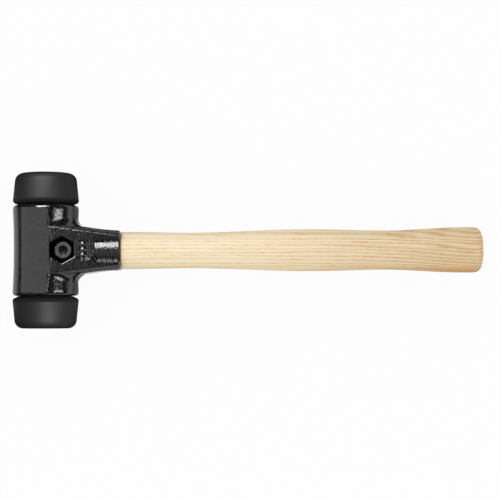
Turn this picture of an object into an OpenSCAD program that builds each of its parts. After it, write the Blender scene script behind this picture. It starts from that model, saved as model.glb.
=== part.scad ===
// Soft face hammer: a two-part cast housing clamps two replaceable rubber
// faces and a hickory handle, held together by one cap screw and its nut.
//
// The hammer lies on its side. X runs along the handle, Y along the striking
// axis and Z up. The origin is below the middle of the hammer, on the surface
// that it lies on. All sizes are in millimetres.

/* [Striking faces] */
// Largest diameter of a face, which gives the hammer its nominal size
face_d = 50; // [44:0.5:60]
// Height of a face from its seat to the striking plane
face_h = 24.4; // [16:0.1:40]
// Slope of the face's side to its axis, in degrees
face_taper = 5.7; // [0.5:0.1:9]
// Rounding of the edge round the striking plane
face_edge_round = 6.5; // [2:0.25:8]
// Rounding under the face, beside its seat
face_base_round = 2.6; // [1:0.1:3]
// Width of the flat seat round the plug
face_seat_w = 1.3; // [0.8:0.1:2]
// Height of the bevel beside the seat
face_seat_bevel = 1; // [0.4:0.1:2]
// Lead-in chamfer on the plug's inner end
plug_chamfer = 1.5; // [0.5:0.1:4]
// Radial clearance of the plug in its socket
plug_clearance = 0.15; // [0.05:0.05:0.4]
// Clearance of the plug's inner end to the socket's floor
plug_end_clearance = 0.5; // [0.2:0.1:1.5]
// Clearance of the face's seat to the barrel's end
seat_clearance = 0.3; // [0.1:0.05:0.6]

/* [Barrel] */
// Length of the barrel between its two end faces
barrel_len = 68.8; // [64:0.2:90]
// Step of the barrel's rims inside the faces, so that the faces touch down first
rim_step = 0.05; // [0.05:0.05:1]
// Rounding of the two rims
rim_round = 2.4; // [1:0.1:4.4]
// Straight land between a rim's rounding and the waist
rim_land = 1.6; // [0.2:0.1:3]
// Depth of the waist below the rims
waist_depth = 0.8; // [0.4:0.05:2]
// Wall of the face sockets at the rims
socket_wall = 4.95; // [4.4:0.05:7]
// Depth of each face socket
socket_depth = 16; // [8:0.5:18]
// Wall round the hollow in the middle of the barrel
core_wall = 5.5; // [4:0.25:8]
// Gap between the two shells when they are clamped
parting_gap = 0.8; // [0.4:0.1:2]

/* [Neck] */
// Reach of the neck's mouth from the striking axis
neck_reach = 57.4; // [52:0.2:80]
// Width of the neck at its mouth, along the striking axis
neck_mouth_w = 29.8; // [28:0.2:32]
// Width of the neck where it leaves the fillet
neck_root_w = 35.2; // [34:0.2:40]
// Hollow of the neck's long edges
neck_edge_hollow = 0.5; // [0.2:0.1:1.2]
// Depth of the neck at its mouth, across the two pads
neck_mouth_depth = 29.5; // [26:0.1:34]
// Radius of the fillet between the neck and the barrel
neck_fillet = 6.5; // [4:0.25:8]
// Distance of the fillet's foot inside the rim's radius
neck_fillet_sink = 0.8; // [0.5:0.1:2]
// Height of the pad's plane over the barrel's crown, at the striking axis
pad_proud = 0.8; // [0.3:0.05:1.5]
// Width of a pad at the mouth
pad_mouth_w = 21.4; // [18:0.2:24]
// Width of a pad at the barrel
pad_root_w = 35.2; // [32:0.2:38]
// Distance of a pad's inner edge from the striking axis
pad_start = 4.8; // [3:0.2:6]
// Chamfer on the neck's mouth
mouth_chamfer = 0.8; // [0.2:0.1:1.5]

/* [Recesses in a pad] */
// Length of the mark recess along the handle
mark_len = 8.2; // [5:0.1:9]
// Width of the mark recess
mark_w = 14.3; // [8:0.1:16]
// Corner radius of the mark recess
mark_round = 2.3; // [0.5:0.1:3]
// Depth of the mark recess
mark_depth = 1.4; // [0.5:0.1:2.5]
// Wall between the screw pocket and the mark recess
mark_wall = 2.8; // [1.5:0.1:4]
// Wall between the mark recess and the window
window_wall = 2.9; // [1.5:0.1:4]
// Width of the window that is open at the mouth
window_w = 16.5; // [10:0.1:17]
// Corner radius of the window
window_round = 4; // [1:0.1:6]
// Depth of the window along its middle
window_depth = 0.9; // [0.4:0.1:2]
// Radius of the window's crowned floor
window_floor_r = 15; // [12:0.5:30]
// Slope of the window's floor, less than the pad's
window_slope = 7; // [4:0.5:10]

/* [Clamp screw] */
// Thread diameter of the screw
screw_d = 8; // [6:0.5:9]
// Length of the screw under its head
screw_len = 20; // [18:0.5:24]
// Diameter of the screw's head
screw_head_d = 13; // [12.8:0.1:15]
// Height of the screw's head
screw_head_h = 8; // [7:0.25:9]
// Width across the flats of the key socket
key_af = 6; // [5:0.5:6.5]
// Depth of the key socket
key_depth = 4.6; // [3.5:0.1:5]
// Chamfer on the screw's head and end
screw_chamfer = 0.8; // [0.3:0.1:1]
// Distance of the screw from the striking axis
screw_offset = 14.6; // [13.8:0.1:16]
// Radial clearance of the screw in the shells
screw_clearance = 0.5; // [0.2:0.05:0.8]
// Clearance between the screw's head and its washer
head_clearance = 0.05; // [0.02:0.01:0.2]

/* [Nut and washer] */
// Width across the flats of the pocket in each shell
pocket_af = 18; // [16.5:0.1:18.6]
// Height of the pocket's floor above the parting plane
pocket_floor = 4.5; // [3.5:0.1:6]
// Clearance of the nut's flats in its pocket
nut_clearance = 0.4; // [0.1:0.05:0.8]
// Height of the nut
nut_h = 8; // [6.5:0.25:10]
// Chamfer on the nut's corners
nut_chamfer = 0.9; // [0.4:0.1:1.4]
// Radial clearance of the thread in the nut
thread_clearance = 0.05; // [0.02:0.01:0.1]
// Outer diameter of the lock washer
washer_d = 12.7; // [12:0.1:14.5]
// Thickness of the lock washer
washer_t = 1.6; // [1:0.1:2.2]
// Radial clearance of the lock washer on the screw
washer_clearance = 0.2; // [0.1:0.05:0.4]
// Width of the split in the lock washer
washer_split = 0.8; // [0.4:0.1:1.5]

/* [Handle] */
// Length of the handle outside the neck
handle_len = 275.4; // [230:0.5:330]
// Width of the handle at its shoulder
shoulder_w = 28.4; // [25:0.1:30]
// Thickness of the handle at its shoulder
shoulder_t = 23.6; // [21:0.1:27]
// Chamfer on the shoulder
shoulder_chamfer = 0.6; // [0.5:0.1:2]
// Clearance between the shoulder and the neck's mouth
shoulder_clearance = 0.3; // [0.1:0.05:0.8]
// Width of the handle at its waist
waist_w = 27; // [24:0.1:30]
// Thickness of the handle at its waist
waist_t = 22.4; // [20:0.1:26]
// Distance of the waist from the shoulder
waist_at = 50; // [30:1:70]
// Width of the handle at its swell
swell_w = 31.9; // [27:0.1:36]
// Thickness of the handle at its swell
swell_t = 25.2; // [22:0.1:30]
// Distance of the swell from the handle's end
swell_from_end = 133; // [110:1:150]
// Width of the handle at its grip
grip_w = 29.9; // [26:0.1:34]
// Thickness of the handle at its grip
grip_t = 24; // [21:0.1:28]
// Distance of the grip from the handle's end
grip_from_end = 74.7; // [50:0.5:90]
// Width of the handle at its knob
knob_w = 34.5; // [30:0.1:40]
// Thickness of the handle at its knob
knob_t = 27.2; // [24:0.1:32]
// Length of the rounded end past the knob
knob_len = 14.5; // [8:0.5:24]

/* [Tenon] */
// Wall between the screw pocket and the tenon's cavity
tenon_wall = 4.3; // [3:0.1:8]
// Width of the tenon at the mouth
tenon_mouth_w = 21; // [17:0.2:22]
// Width of the tenon at its inner end, which locks it in the neck
tenon_end_w = 24.6; // [21:0.2:26]
// Thickness of the tenon
tenon_t = 16; // [12:0.2:17]
// Clearance of the tenon in the two shells
tenon_clearance = 0.2; // [0.1:0.05:0.4]

/* [Hidden] */
$fn = 64;

cast_black = [0.07, 0.07, 0.075];
rubber_black = [0.13, 0.13, 0.135];
hickory = [0.87, 0.74, 0.53];
blackened_steel = [0.25, 0.24, 0.24];

// Length that carries a cut past the face it opens
past = 1;
// Facets of the wide arcs, which keep them smooth in a mesh
wide_arc_fn = 720;

// Barrel and faces
face_r = face_d / 2;
rim_r = face_r - rim_step;
waist_r = rim_r - waist_depth;
rim_arc = min(rim_round, socket_wall - past / 2);
barrel_end = barrel_len / 2;
waist_end = barrel_end - rim_arc - rim_land;
socket_r = rim_r - socket_wall;
socket_floor = barrel_end - socket_depth;
plug_r = socket_r - plug_clearance;
plug_len = socket_depth + seat_clearance - plug_end_clearance;
face_seat = barrel_end + seat_clearance;

// Pads and neck
mouth_z = neck_mouth_depth / 2;
crown_z = waist_r + pad_proud;
pad_drop = (crown_z - mouth_z) / neck_reach;
pad_slope = atan(pad_drop);
function pad_z(x) = crown_z - x * pad_drop;
flank_mouth_r = norm([pad_mouth_w / 2, mouth_z]);
flank_root_r = norm([pad_root_w / 2, pad_z(pad_start)]);
fillet_foot = rim_r - neck_fillet_sink;

// Recesses in the pads
pocket_half = pocket_af / 2;
mark_from = screw_offset + pocket_half + mark_wall;
window_from = mark_from + mark_len + window_wall;

// Screw stack, upwards from the parting plane
head_seat = pocket_floor + washer_t + head_clearance;

// Handle and tenon
shoulder_x = neck_reach + shoulder_clearance;
handle_end_x = shoulder_x + handle_len;
tenon_end_x = screw_offset + pocket_half + tenon_wall + tenon_clearance;
tenon_len = shoulder_x - tenon_end_x;
// Stations along the handle: distance from the shoulder, half width, half thickness
stations = [
    [0, shoulder_w / 2, shoulder_t / 2],
    [waist_at, waist_w / 2, waist_t / 2],
    [handle_len - swell_from_end, swell_w / 2, swell_t / 2],
    [handle_len - grip_from_end, grip_w / 2, grip_t / 2],
    [handle_len - knob_len, knob_w / 2, knob_t / 2],
];
rings_per_span = 6;
knob_rings = 8;
ring_sides = 32;
// Power of the handle's oval section: 2 is an ellipse, more is squarer
oval_power = 2.4;
// Power of the end's rounding: a higher one gives a flatter end
knob_power = 7;

// Middle of the hammer, measured from the striking axis
centre_x = (handle_end_x - face_r) / 2;

// Moves a piece from the striking axis to its place over the origin.
module placed() {
    translate([-centre_x, 0, face_r]) children();
}

// Radius of an arc with a chord's half length and the height of its bow.
function bow_r(half_chord, bow) = (half_chord * half_chord + bow * bow) / (2 * bow);

// What a rounding of radius r takes off a square corner at the origin.
module corner_waste(r) {
    difference() {
        translate([-r, -r]) square(r + past);
        translate([-r, -r]) circle(r);
    }
}

// Half section of the barrel: X is the radius and Y the striking axis.
module barrel_section() {
    waist_bow = bow_r(waist_end, waist_depth);
    difference() {
        translate([0, -barrel_end]) square([rim_r, barrel_len]);
        translate([waist_r + waist_bow, 0]) circle(waist_bow, $fn = wide_arc_fn);
        for (end = [0, 1])
            mirror([0, end])
                translate([rim_r, barrel_end]) corner_waste(rim_arc);
    }
}

// Outline of the neck seen from above, with the fillets into the barrel.
module neck_outline() {
    fillet_x = fillet_foot + neck_fillet;
    root_w = neck_root_w / 2;
    mouth_w = neck_mouth_w / 2;
    edge = [neck_reach - fillet_x, mouth_w - root_w];
    chord = norm(edge);
    edge_r = bow_r(chord / 2, neck_edge_hollow);
    // Centre of the hollow edge, out along the chord's normal
    normal = [-edge[1], edge[0]] / chord;
    edge_centre = [fillet_x, root_w] + edge / 2 + normal * (edge_r - neck_edge_hollow);
    tip = mouth_w - mouth_chamfer;
    difference() {
        translate([pad_start, -root_w - neck_fillet])
            square([neck_reach - pad_start, 2 * (root_w + neck_fillet)]);
        for (side = [0, 1])
            mirror([0, side]) {
                translate([fillet_x, root_w + neck_fillet]) circle(neck_fillet);
                intersection() {
                    translate(edge_centre) circle(edge_r, $fn = wide_arc_fn);
                    translate([fillet_x, 0]) square(neck_reach);
                }
                translate([neck_reach, tip]) rotate(45) square(neck_fillet);
            }
    }
}

// Side of the neck, with its two sloping pads.
module neck_side() {
    polygon([[pad_start, -pad_z(pad_start)], [neck_reach, -mouth_z],
             [neck_reach, mouth_z], [pad_start, pad_z(pad_start)]]);
}

module neck() {
    intersection() {
        linear_extrude(4 * face_r, center = true) neck_outline();
        rotate([90, 0, 0])
            linear_extrude(2 * barrel_len, center = true) neck_side();
        translate([pad_start, 0, 0])
            rotate([0, 90, 0])
                cylinder(r1 = flank_root_r, r2 = flank_mouth_r, h = neck_reach - pad_start);
    }
}

module hex_prism(af, h) {
    rotate(30) cylinder(d = af / cos(30), h = h, $fn = 6);
}

module rounded_slab(size, r, h) {
    linear_extrude(h)
        difference() {
            square(size, center = true);
            for (x = [0, 1], y = [0, 1])
                mirror([x, 0]) mirror([0, y])
                    translate(size / 2) corner_waste(r);
        }
}

// Tenon of the handle, or with a clearance the cavity that it sits in.
module tenon(clearance = 0) {
    from = tenon_end_x - clearance;
    to = shoulder_x + past;
    spread = (tenon_end_w - tenon_mouth_w) / 2 / tenon_len;
    function half(x) = tenon_mouth_w / 2 + (shoulder_x - x) * spread + clearance;
    linear_extrude(tenon_t + 2 * clearance, center = true)
        polygon([[from, half(from)], [to, half(to)], [to, -half(to)], [from, -half(from)]]);
}

// Shallow recess for marks, sunk square to the sloping pad.
module mark_recess() {
    mid = mark_from + mark_len / 2;
    translate([mid, 0, pad_z(mid)])
        rotate([0, pad_slope, 0])
            translate([0, 0, -mark_depth])
                rounded_slab([mark_len, mark_w], mark_round, mark_depth + past);
}

// Window in the pad, open at the mouth, with a floor that is crowned across it.
module window() {
    length = 2 * (neck_reach - window_from);
    difference() {
        translate([neck_reach, 0, tenon_t / 2 + tenon_clearance])
            rounded_slab([length, window_w], window_round, face_r);
        translate([neck_reach, 0, mouth_z - window_depth])
            rotate([0, window_slope, 0])
                translate([0, 0, -window_floor_r])
                    rotate([0, 90, 0])
                        cylinder(r = window_floor_r, h = 4 * neck_reach, center = true);
    }
}

// Hollow in the middle of the barrel, between the sockets and the screw.
module core_hollow() {
    to = screw_offset - pocket_half - core_wall;
    width = 2 * (socket_floor - core_wall);
    intersection() {
        rotate([90, 0, 0]) cylinder(r = waist_r - core_wall, h = width, center = true);
        translate([to - face_d, -barrel_end, -face_r])
            cube([face_d, barrel_len, face_d]);
    }
}

// One of the two like castings, with its pad upwards.
module shell() {
    difference() {
        union() {
            rotate([-90, 0, 0]) rotate_extrude() barrel_section();
            neck();
        }
        translate([-neck_reach, -barrel_len, parting_gap / 2 - 2 * face_d])
            cube([3 * neck_reach, 2 * barrel_len, 2 * face_d]);
        for (side = [-1, 1])
            rotate([-90 * side, 0, 0])
                translate([0, 0, socket_floor])
                    cylinder(r = socket_r, h = socket_depth + past);
        tenon(tenon_clearance);
        core_hollow();
        translate([screw_offset, 0, pocket_floor]) hex_prism(pocket_af, face_d);
        translate([screw_offset, 0, -past])
            cylinder(r = screw_d / 2 + screw_clearance, h = pocket_floor + 2 * past);
        mark_recess();
        window();
    }
}

module front_shell() {
    color(cast_black) placed() shell();
}

module back_shell() {
    color(cast_black) placed() rotate([180, 0, 0]) shell();
}

// Half section of a face: X is the radius, Y its axis, with the seat at zero.
module face_section() {
    seat_r = plug_r + face_seat_w;
    base_top = face_seat_bevel + face_base_round;
    slant = tan(face_taper);
    tip_r = face_r - (face_h - base_top) * slant;
    edge_y = face_h - face_edge_round;
    edge_x = tip_r + face_edge_round * slant - face_edge_round / cos(face_taper);
    difference() {
        polygon([[0, -plug_len], [plug_r - plug_chamfer, -plug_len],
                 [plug_r, plug_chamfer - plug_len], [plug_r, 0], [seat_r, 0],
                 [face_r - face_base_round, face_seat_bevel], [face_r, face_seat_bevel],
                 [face_r, base_top], [tip_r, face_h], [0, face_h]]);
        mirror([0, 1]) translate([face_r, -face_seat_bevel]) corner_waste(face_base_round);
        difference() {
            translate([edge_x, edge_y])
                polygon([[0, 0], [2 * face_edge_round, 2 * face_edge_round * slant],
                         [2 * face_edge_round, 2 * face_edge_round], [0, 2 * face_edge_round]]);
            translate([edge_x, edge_y]) circle(face_edge_round);
        }
    }
}

module right_striking_face() {
    color(rubber_black) placed()
        translate([0, face_seat, 0]) rotate([-90, 0, 0]) rotate_extrude() face_section();
}

module left_striking_face() {
    color(rubber_black) placed()
        translate([0, -face_seat, 0]) rotate([90, 0, 0]) rotate_extrude() face_section();
}

// One ring of the handle: an oval of a half width and a half thickness at x.
function oval(x, half_w, half_t) =
    [for (i = [0 : ring_sides - 1]) let (a = 360 * i / ring_sides, c = cos(a), s = sin(a))
        [x, sign(c) * half_w * pow(abs(c), 2 / oval_power),
            sign(s) * half_t * pow(abs(s), 2 / oval_power)]];

function eased(t) = (1 - cos(180 * t)) / 2;

// Rings along the handle from its shoulder to its end.
function handle_rings() =
    let (
        first = stations[0],
        last = stations[len(stations) - 1],
        c = shoulder_chamfer,
        chamfer = [oval(0, first[1] - c, first[2] - c)],
        body = [for (s = [0 : len(stations) - 2], i = [0 : rings_per_span - 1])
            let (a = stations[s], b = stations[s + 1], t = i / rings_per_span,
                 p = a + (b - a) * t, e = a + (b - a) * eased(t))
            oval(max(p[0], c), e[1], e[2])],
        knob = [for (i = [0 : knob_rings - 1])
            let (u = 1 - pow(1 - i / knob_rings, 2), k = sqrt(1 - pow(u, knob_power)))
            oval(last[0] + u * knob_len, last[1] * k, last[2] * k)],
        tip = [oval(last[0] + knob_len, last[1] / 8, last[2] / 8)]
    ) concat(chamfer, body, knob, tip);

// Closed skin over a row of rings with the same number of points.
module skin(rings) {
    n = len(rings[0]);
    end = (len(rings) - 1) * n;
    sides = [for (r = [0 : n : end - n], i = [0 : n - 1]) let (j = (i + 1) % n)
        each [[r + j, r + i, r + n + i], [r + n + j, r + j, r + n + i]]];
    first_cap = [for (i = [1 : n - 2]) [0, i, i + 1]];
    last_cap = [for (i = [1 : n - 2]) [end, end + i + 1, end + i]];
    polyhedron(points = [for (r = rings) each r], faces = concat(sides, first_cap, last_cap));
}

module handle() {
    color(hickory) placed()
        union() {
            translate([shoulder_x, 0, 0]) skin(handle_rings());
            tenon();
        }
}

module clamp_screw() {
    c = screw_chamfer;
    head_r = screw_head_d / 2;
    shank_r = screw_d / 2;
    color(blackened_steel) placed()
        translate([screw_offset, 0, head_seat])
            difference() {
                rotate_extrude()
                    polygon([[0, -screw_len], [shank_r - c, -screw_len], [shank_r, c - screw_len],
                             [shank_r, 0], [head_r, 0], [head_r, screw_head_h - c],
                             [head_r - c, screw_head_h], [0, screw_head_h]]);
                translate([0, 0, screw_head_h - key_depth]) hex_prism(key_af, key_depth + past);
            }
}

// Split spring washer between the screw's head and the pocket's floor.
module lock_washer() {
    hole_r = screw_d / 2 + washer_clearance;
    color(blackened_steel) placed()
        translate([screw_offset, 0, pocket_floor])
            difference() {
                cylinder(d = washer_d, h = washer_t);
                translate([0, 0, -past]) cylinder(r = hole_r, h = washer_t + 2 * past);
                rotate(35)
                    translate([0, -washer_split / 2, -past])
                        cube([washer_d, washer_split, washer_t + 2 * past]);
            }
}

// Nut in the back shell's pocket, kept from turning by the pocket's flats.
module clamp_nut() {
    af = pocket_af - 2 * nut_clearance;
    outer_r = af / 2 / cos(30) - nut_chamfer;
    bore_r = screw_d / 2 + thread_clearance;
    color(blackened_steel) placed()
        translate([screw_offset, 0, -pocket_floor - nut_h])
            difference() {
                intersection() {
                    hex_prism(af, nut_h);
                    cylinder(r1 = outer_r, r2 = outer_r + 2 * nut_h, h = nut_h);
                }
                translate([0, 0, -past]) cylinder(r = bore_r, h = nut_h + 2 * past);
            }
}

front_shell();
back_shell();
right_striking_face();
left_striking_face();
handle();
clamp_screw();
lock_washer();
clamp_nut();
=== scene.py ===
"""Looks of a soft face hammer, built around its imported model.

The hammer lies on its side in the model's own frame, in metres: X runs along
the handle, Y along the striking axis and Z up. Sizes in the classes below are
in millimetres, measured from the striking axis and the parting plane. Only the
studio's table, cards and lamps are set out in metres.
"""

import logging
import math
from contextlib import contextmanager
from dataclasses import dataclass
from enum import Enum
from functools import cached_property
from typing import Callable, Iterator, Sequence

import bmesh
import bpy
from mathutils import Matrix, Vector


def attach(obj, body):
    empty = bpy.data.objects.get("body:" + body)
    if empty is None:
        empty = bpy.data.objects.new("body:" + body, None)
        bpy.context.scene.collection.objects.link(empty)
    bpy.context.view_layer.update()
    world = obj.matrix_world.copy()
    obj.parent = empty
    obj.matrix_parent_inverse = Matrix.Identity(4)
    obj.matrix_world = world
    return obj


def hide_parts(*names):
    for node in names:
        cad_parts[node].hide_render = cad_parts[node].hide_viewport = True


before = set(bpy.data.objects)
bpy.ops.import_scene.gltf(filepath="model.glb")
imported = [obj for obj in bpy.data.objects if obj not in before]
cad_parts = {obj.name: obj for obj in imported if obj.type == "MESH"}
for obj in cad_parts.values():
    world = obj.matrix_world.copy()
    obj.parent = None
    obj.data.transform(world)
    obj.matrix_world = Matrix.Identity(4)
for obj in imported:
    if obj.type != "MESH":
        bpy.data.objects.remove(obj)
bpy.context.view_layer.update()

LOG = logging.getLogger("hammer")
MM = 0.001
# Place of the striking axis and the parting plane in the model's frame
AXIS_X = -154.05
PARTING_Z = 25.0
# The housing's pad: its height at the axis and its fall towards the mouth, in degrees
PAD_TOP = 24.95
PAD_SLOPE = 10.08
PAD_FALL = math.tan(math.radians(PAD_SLOPE))
# Places that a piece shares with its finish or with its neighbour
SCREW_X = 14.6
MARK_X = 30.5
SEAT_Y = 34.7
SHOULDER_X = 57.7

Piece = bpy.types.Object
Triple = tuple[float, float, float]
Pair = tuple[float, float]


class Body(Enum):
    """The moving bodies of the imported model."""

    BACK = "back_housing"
    FRONT = "front_housing"
    SCREW = "screw"
    RIGHT_FACE = "right_face"
    LEFT_FACE = "left_face"


class Slot(Enum):
    """The record's material slots."""

    ENAMEL = "enamelled_iron"
    RUBBER = "black_rubber"
    WOOD = "hickory"
    STEEL = "blackened_steel"


class Side(Enum):
    """The end of the barrel that a face sits on."""

    RIGHT = 1
    LEFT = -1


class Output:
    """An output of a node, with arithmetic that adds the nodes it needs."""

    def __init__(self, graph: "Graph", socket: bpy.types.NodeSocket) -> None:
        """Holds a socket and the graph that it belongs to."""
        self.graph = graph
        self.socket = socket

    def __add__(self, other: "Term") -> "Output":
        """Sum of two values."""
        return self.graph.math("ADD", self, other)

    def __sub__(self, other: "Term") -> "Output":
        """Difference of two values."""
        return self.graph.math("SUBTRACT", self, other)

    def __rsub__(self, other: float) -> "Output":
        """Difference from a number."""
        return self.graph.math("SUBTRACT", other, self)

    def __mul__(self, other: "Term") -> "Output":
        """Product of two values."""
        return self.graph.math("MULTIPLY", self, other)

    def __truediv__(self, other: "Term") -> "Output":
        """Quotient of two values."""
        return self.graph.math("DIVIDE", self, other)

    def __pow__(self, other: "Term") -> "Output":
        """Power of a value that isn't negative."""
        return self.graph.math("POWER", self, other)

    def __abs__(self) -> "Output":
        """Value without its sign."""
        return self.graph.math("ABSOLUTE", self)

    def larger(self, other: "Term") -> "Output":
        """The larger of two values."""
        return self.graph.math("MAXIMUM", self, other)

    def mix(self, low: "Output | Triple", high: "Output | Triple") -> "Output":
        """Mixes two colours, with this value as the share of the second one."""
        low, high = ((*tone, 1.0) if isinstance(tone, tuple) else tone for tone in (low, high))
        return self.graph.value("Mix", {0: self, 6: low, 7: high}, 2, data_type="RGBA")

    def ramp(self, low: "Term", high: "Term",
             to_low: "Term" = 0.0, to_high: "Term" = 1.0) -> "Output":
        """Maps the span from low to high to another one, with a soft start and end."""
        values = dict(enumerate((self, low, high, to_low, to_high)))
        return self.graph.value("MapRange", values, interpolation_type="SMOOTHSTEP")


Term = Output | float


class Graph:
    """A node tree with short calls for its nodes and links."""

    def __init__(self, tree: bpy.types.NodeTree) -> None:
        """Takes over a tree and clears it."""
        self.tree = tree
        tree.nodes.clear()

    def add(self, kind: str, values: dict | None = None, **settings) -> bpy.types.Node:
        """Adds a node.

        Args:
            kind: the node's type, without its ShaderNode prefix.
            values: input names or numbers, each with a constant or an output to link.
            settings: properties of the node.

        Returns:
            The new node.
        """
        node = self.tree.nodes.new("ShaderNode" + kind)
        for name, value in settings.items():
            setattr(node, name, value)
        self.fill(node, values or {})
        return node

    def fill(self, node: bpy.types.Node, values: dict) -> None:
        """Fills in inputs of a node.

        Args:
            node: the node.
            values: input names or numbers, each with a constant or an output to link.
        """
        for key, value in values.items():
            if isinstance(value, Output):
                self.tree.links.new(value.socket, node.inputs[key])
            else:
                node.inputs[key].default_value = value

    def value(self, kind: str, values: dict, output: int | str = 0, **settings) -> Output:
        """Adds a node and takes one of its outputs, by its number or name."""
        return Output(self, self.add(kind, values, **settings).outputs[output])

    def math(self, operation: str, *terms: Term) -> Output:
        """Works out a value with one Math node."""
        return self.value("Math", dict(enumerate(terms)), operation=operation)

    def noise(self, vector: Output, cells: Term = 1.0,
              detail: float = 2.0, roughness: float = 0.5) -> Output:
        """Smooth noise with a number of cells to a unit of its coordinates."""
        values = {"Vector": vector, "Scale": cells, "Detail": detail, "Roughness": roughness}
        return self.value("TexNoise", values)


class Groups:
    """Shader node groups that several finishes share, each made once."""

    MOTTLE_SPAN: Pair = (0.3, 0.7)

    @staticmethod
    def named(name: str, numbers: Sequence[str], results: Sequence[str],
              draw: Callable[[Graph, dict[str, Output]], Sequence[Output]]
              ) -> bpy.types.NodeTree:
        """Looks a group up by its name, or makes it.

        Args:
            name: the group's name.
            numbers: names of its inputs, beside the coordinates.
            results: names of its outputs.
            draw: works out the results in their order, from the graph and the inputs.

        Returns:
            The group.
        """
        if name in bpy.data.node_groups:
            return bpy.data.node_groups[name]
        tree = bpy.data.node_groups.new(name, "ShaderNodeTree")
        tree.interface.new_socket("Vector", in_out="INPUT", socket_type="NodeSocketVector")
        for way, labels in (("INPUT", numbers), ("OUTPUT", results)):
            for label in labels:
                tree.interface.new_socket(label, in_out=way, socket_type="NodeSocketFloat")
        graph = Graph(tree)
        given = {s.name: Output(graph, s) for s in tree.nodes.new("NodeGroupInput").outputs}
        graph.fill(tree.nodes.new("NodeGroupOutput"), dict(zip(results, draw(graph, given))))
        return tree

    @classmethod
    def relief(cls) -> bpy.types.NodeTree:
        """Two sizes of bumps on a moulded, cast or blackened surface, and their mottle."""
        def draw(graph: Graph, given: dict[str, Output]) -> Sequence[Output]:
            """Mixes both sizes; the mottle follows the coarse bumps alone."""
            coarse, fine = (graph.noise(given["Vector"], given[f"{size} Cells"])
                            for size in ("Coarse", "Fine"))
            return (coarse + (fine - coarse) * given["Fine Share"],
                    coarse.ramp(*cls.MOTTLE_SPAN))

        return cls.named("surface_relief", ("Coarse Cells", "Fine Cells", "Fine Share"),
                         ("Height", "Mottle"), draw)

    @classmethod
    def streaks(cls) -> bpy.types.NodeTree:
        """Fine streaks along X, as in fibres and pores."""
        def draw(graph: Graph, given: dict[str, Output]) -> Sequence[Output]:
            """Masks the noise from a start value to an end value."""
            value = graph.noise(given["Vector"], detail=3.0, roughness=0.6)
            return [value.ramp(given["Start"], given["End"])]

        return cls.named("long_streaks", ("Start", "End"), ("Mask",), draw)


@dataclass(frozen=True)
class Cells:
    """Cells of a pattern along X: their length and width, and a shift in cells."""

    length: float
    width: float
    shift: Triple = (0, 0, 0)


class Surface(Graph):
    """The graph of a new material, with its shader."""

    def __init__(self, name: str) -> None:
        """Starts the material with a plain Principled shader.

        Args:
            name: the material's name.
        """
        self.material = bpy.data.materials.new(name)
        self.material.use_nodes = True
        super().__init__(self.material.node_tree)
        self.shader = self.add("BsdfPrincipled")
        self.add("OutputMaterial", {"Surface": Output(self, self.shader.outputs[0])})

    @cached_property
    def coords(self) -> Output:
        """Object coordinates, in metres."""
        return self.value("TexCoord", {}, "Object")

    def paint(self, values: dict) -> None:
        """Fills in inputs of the shader, by their names."""
        self.fill(self.shader, values)

    def place(self) -> tuple[Output, ...]:
        """Place of a point in millimetres.

        Returns:
            X and Y from the striking axis, and Z over the table.
        """
        centred = self.value("VectorMath", {0: self.coords, 1: (MM * AXIS_X, 0, 0)},
                             operation="SUBTRACT")
        in_mm = self.value("VectorMath", {0: centred, "Scale": 1 / MM}, operation="SCALE")
        return tuple(Output(self, s) for s in self.add("SeparateXYZ", {0: in_mm}).outputs)

    def stretched(self, cells: Cells) -> Output:
        """Coordinates in which each of a pattern's cells is one unit long and wide."""
        scale = [1 / (MM * size) for size in (cells.length, cells.width, cells.width)]
        return self.value("Mapping", {"Vector": self.coords, "Scale": scale,
                                      "Location": cells.shift})

    def relief(self, cells: Pair, share: float) -> tuple[Output, Output]:
        """Places the shared relief.

        Args:
            cells: coarse and fine cells to the metre.
            share: share of the fine cells in the height.

        Returns:
            The height and the mottle.
        """
        node = self.add("Group", node_tree=Groups.relief())
        self.fill(node, {"Vector": self.coords, "Coarse Cells": cells[0],
                         "Fine Cells": cells[1], "Fine Share": share})
        return Output(self, node.outputs["Height"]), Output(self, node.outputs["Mottle"])

    def streaks(self, cells: Cells, span: Pair) -> Output:
        """Places the shared streaks, which start and are full at two values of a noise."""
        values = {"Vector": self.stretched(cells), "Start": span[0], "End": span[1]}
        return self.value("Group", values, "Mask", node_tree=Groups.streaks())

    def bump(self, height: Output, depth: float) -> None:
        """Gives the shader a relief with a depth in millimetres."""
        values = {"Height": height, "Strength": 1.0, "Distance": depth * MM}
        self.paint({"Normal": self.value("Bump", values)})


@dataclass(frozen=True)
class Finish:
    """A surface finish that makes its own material."""

    name: str
    slot: Slot

    def dress(self, surface: Surface) -> None:
        """Fills in the material; each finish has its own."""
        raise NotImplementedError

    def material(self) -> bpy.types.Material:
        """Makes the material, once.

        Returns:
            The finish's material.
        """
        if self.name not in bpy.data.materials:
            self.dress(Surface(self.name))
        return bpy.data.materials[self.name]


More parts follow.
